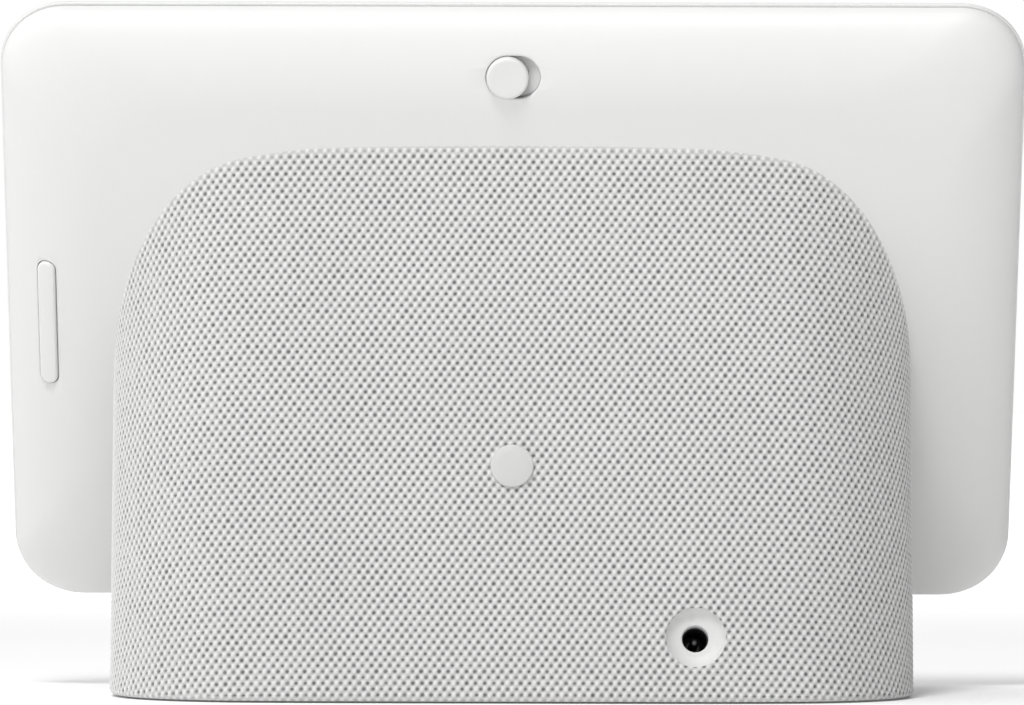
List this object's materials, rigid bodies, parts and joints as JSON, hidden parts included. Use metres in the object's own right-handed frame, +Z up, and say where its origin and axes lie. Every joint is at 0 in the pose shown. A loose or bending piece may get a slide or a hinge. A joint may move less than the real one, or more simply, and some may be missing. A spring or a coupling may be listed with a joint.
{
  "type": "smart display",
  "caption": "Table-top touch screen leaning back on a cloth-covered speaker base, with a microphone slide switch, a volume rocker and a barrel power inlet at the back.",
  "frame": {"origin": "on the floor, under the middle of the bounding box", "axes": "+Z up, the screen faces -Y and the back faces +Y, +X to the user's right"},
  "size_m": [0.1774, 0.0695, 0.1204],
  "materials": {
    "front_glass": "smooth, white border painted on the inside",
    "white_tape": "white foam tape",
    "adhesive": "black foam",
    "lcd": "dark, switched off",
    "light_guide": "clear acrylic",
    "tray_metal": "satin",
    "frame_plastic": "fine grain",
    "chalk_plastic": "fine matte grain",
    "trim_plastic": "smooth semi-gloss",
    "badge_plastic": "smooth semi-gloss",
    "carrier_plastic": "matte light grey",
    "knit_cloth": "light grey melange knit",
    "housing_plastic": "fine grain",
    "foot_rubber": "matte silicone",
    "black_plastic": "smooth black",
    "basket_metal": "matte black paint",
    "cone_paper": "coated paper",
    "surround_rubber": "matte black",
    "spider_cloth": "resin-stiffened cloth",
    "copper": "enamelled copper wire",
    "ferrite": "dull sintered ferrite",
    "zinc_steel": "zinc plated",
    "heat_sink_metal": "extruded",
    "circuit_board": "solder mask",
    "chip_black": "moulded epoxy",
    "ivory_plastic": "moulded",
    "thermal_rubber": "soft silicone",
    "ribbon_film": "polyimide film",
    "antenna_foil": "plated foil on film",
    "wire_rubber": "red and black insulation",
    "plated_metal": "nickel plated"
  },
  "bodies": {
    "stand": {"cover_glass": "front_glass", "glass_adhesive": "white_tape", "lcd_cell": "lcd", "light_guide": "light_guide", "backlight_tray": "tray_metal", "mid_frame": "frame_plastic", "frame_screws": "zinc_steel", "rear_shell": "chalk_plastic", "display_board": "circuit_board", "wifi_antennas": "antenna_foil", "sensor_board": "circuit_board", "microphones": "zinc_steel", "mic_gaskets": "adhesive", "light_sensor": "chip_black", "switch_carrier": "carrier_plastic", "mute_switch_case": "zinc_steel", "mute_board": "circuit_board", "volume_bracket": "zinc_steel", "volume_board": "circuit_board", "volume_switches": "zinc_steel", "switch_domes": "plated_metal", "neck_plate": "zinc_steel", "neck_screws": "zinc_steel", "display_ribbon": "ribbon_film", "cloth_sleeve": "knit_cloth", "speaker_housing": "housing_plastic", "rear_badge": "badge_plastic", "base_plate": "chalk_plastic", "rubber_foot": "foot_rubber", "base_screws": "zinc_steel", "inlet_trim": "trim_plastic", "inlet_barrel": "black_plastic", "inlet_pin": "plated_metal", "inlet_terminals": "plated_metal", "main_board": "circuit_board", "board_screws": "zinc_steel", "processor": "chip_black", "memory_chips": "chip_black", "shield_can": "zinc_steel", "thermal_pad": "thermal_rubber", "heat_sink": "heat_sink_metal", "board_connectors": "ivory_plastic", "power_wires": "wire_rubber", "speaker_wires": "wire_rubber", "speaker_gasket": "adhesive", "speaker_basket": "basket_metal", "speaker_screws": "zinc_steel", "speaker_terminals": "plated_metal", "top_plate": "zinc_steel", "magnet": "ferrite", "yoke": "zinc_steel", "spider": "spider_cloth", "surround": "surround_rubber"},
    "mute_slider": {"mute_slider": "chalk_plastic", "mute_lever": "chip_black"},
    "volume_rocker": {"volume_rocker": "chalk_plastic"},
    "speaker_cone": {"speaker_cone": "cone_paper", "dust_cap": "cone_paper", "voice_coil": "copper"}
  },
  "joints": [
    {"name": "mute_slide", "type": "slide", "parent": "stand", "child": "mute_slider", "axis": [1, 0, 0], "range_m": [-0.0019, 0]},
    {"name": "volume_rock", "type": "hinge", "parent": "stand", "child": "volume_rocker", "pos_m": [0.08025, -0.00405, 0.0664], "axis": [0.9515, -0.274, 0.1396], "range_deg": [-1.2, 1.2], "stiffness_Nm_per_rad": 0.05, "deforming": ["switch_domes"]},
    {"name": "cone_travel", "type": "slide", "parent": "stand", "child": "speaker_cone", "axis": [0, 0.9811, 0.1934], "range_m": [-0.001, 0.001], "stiffness_N_per_m": 800, "deforming": ["surround", "spider"]}
  ]
}
